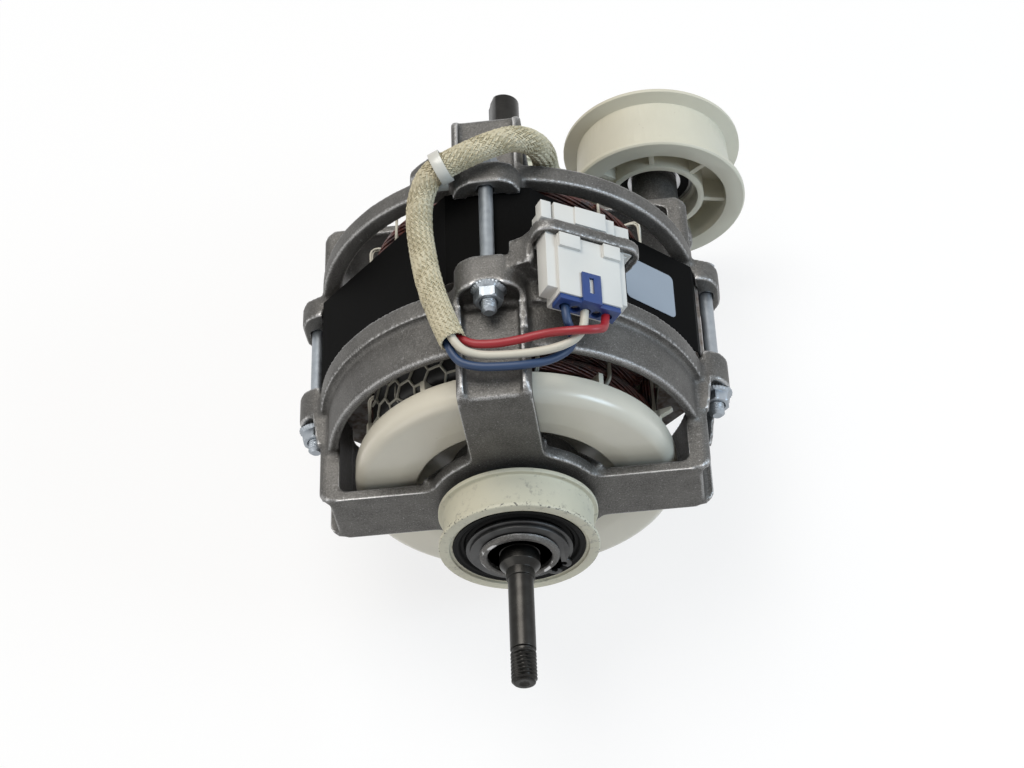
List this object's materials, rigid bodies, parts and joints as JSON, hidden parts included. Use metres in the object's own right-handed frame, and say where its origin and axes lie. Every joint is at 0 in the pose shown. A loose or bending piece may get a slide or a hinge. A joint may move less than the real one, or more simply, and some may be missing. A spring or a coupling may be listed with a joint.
{
  "type": "dryer motor",
  "caption": "Open-frame induction motor with a shaft at each end, cradle rings on its hub noses, an internal fan, a belt idler on a side post and a clipped lead connector.",
  "frame": {"origin": "centre of the front mounting ring, on the shaft line", "axes": "+Y along the shaft from the fan end to the belt end, +Z through the top through bolt, +X to the belt idler's side"},
  "size_m": [0.1536, 0.2348, 0.1513],
  "materials": {
    "cast_aluminium": "sand-blasted die casting",
    "core_steel": "stacked sheet edges",
    "wrap_black": "flat black film",
    "liner_white": "insulating sheet",
    "winding_copper": "enamelled copper wire",
    "lacing_cord": "twisted cord",
    "protector_case": "moulded case",
    "zinc_steel": "zinc plated",
    "bearing_steel": "ground steel",
    "spring_steel": "dark phosphated steel",
    "ring_plastic": "moulded off-white plastic",
    "ring_rubber": "black rubber",
    "shaft_steel": "dark oiled steel",
    "rotor_steel": "turned sheet stack",
    "cage_aluminium": "cast",
    "fan_plastic": "moulded off-white plastic",
    "pulley_plastic": "moulded off-white plastic",
    "connector_white": "moulded white plastic",
    "lock_blue": "moulded blue plastic",
    "contact_brass": "stamped contacts",
    "lead_red": "soft insulation",
    "lead_white": "soft insulation",
    "lead_blue": "soft insulation",
    "sleeve_weave": "woven glass-fibre sleeve",
    "tie_nylon": "natural nylon"
  },
  "bodies": {
    "housing": {"front_bell": "cast_aluminium", "rear_bell": "cast_aluminium", "stator_core": "core_steel", "core_wrap": "wrap_black", "slot_liners": "liner_white", "main_winding": "winding_copper", "auxiliary_winding": "winding_copper", "front_lacing": "lacing_cord", "rear_lacing": "lacing_cord", "thermal_protector": "protector_case", "through_bolts": "zinc_steel", "flange_nuts": "zinc_steel", "front_bearing_outer": "bearing_steel", "rear_bearing_outer": "bearing_steel", "bearing_spring": "spring_steel", "front_mount_ring": "ring_plastic", "rear_mount_ring": "ring_plastic", "front_rubber_ring": "ring_rubber", "rear_rubber_ring": "ring_rubber", "front_ring_washer": "spring_steel", "rear_ring_washer": "spring_steel", "front_circlip": "spring_steel", "rear_circlip": "spring_steel", "connector_plug": "connector_white", "connector_socket": "connector_white", "terminal_lock": "lock_blue", "plug_terminals": "contact_brass", "socket_pins": "contact_brass", "lead_red": "lead_red", "lead_white": "lead_white", "lead_blue": "lead_blue", "lead_sleeve": "sleeve_weave", "sleeve_tie": "tie_nylon", "idler_bearing_inner": "bearing_steel", "idler_circlip": "spring_steel"},
    "rotor": {"motor_shaft": "shaft_steel", "rotor_core": "rotor_steel", "rotor_cage": "cage_aluminium", "cooling_fan": "fan_plastic", "front_bearing_inner": "bearing_steel", "rear_bearing_inner": "bearing_steel", "front_bearing_balls": "bearing_steel", "rear_bearing_balls": "bearing_steel"},
    "idler": {"idler_pulley": "pulley_plastic", "idler_bearing_outer": "bearing_steel", "idler_bearing_balls": "bearing_steel"}
  },
  "joints": [
    {"name": "rotor_spin", "type": "hinge", "parent": "housing", "child": "rotor", "pos_m": [0, 0, 0], "axis": [0, 1, 0], "continuous": true},
    {"name": "idler_spin", "type": "hinge", "parent": "housing", "child": "idler", "pos_m": [0.0515, 0.1484, -0.0105], "axis": [0, 1, 0], "continuous": true}
  ]
}
